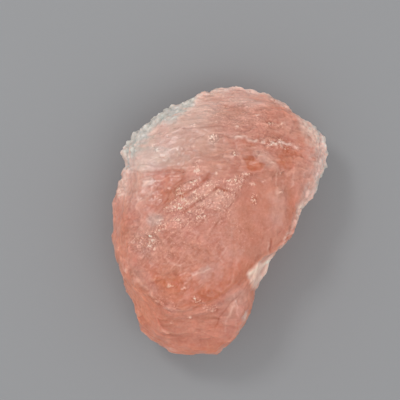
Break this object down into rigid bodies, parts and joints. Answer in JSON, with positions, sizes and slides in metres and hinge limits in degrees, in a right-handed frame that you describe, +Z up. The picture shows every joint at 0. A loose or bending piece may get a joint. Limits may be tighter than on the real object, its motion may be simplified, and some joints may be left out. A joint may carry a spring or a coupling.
{
  "type": "rough morganite crystal",
  "caption": "Rough lump of translucent salmon-pink beryl, broken on all sides, lying on a flat break.",
  "frame": {"origin": "under the middle of the lump's box, on the flat break that it rests on", "axes": "+Z up, away from the resting face; +Y along the length, towards the rounded end; +X across, towards the side that bulges under the rounded end"},
  "size_m": [0.07, 0.088, 0.042],
  "materials": {
    "morganite": "satin"
  },
  "bodies": {
    "root": {"morganite_crystal": "morganite"}
  },
  "joints": []
}
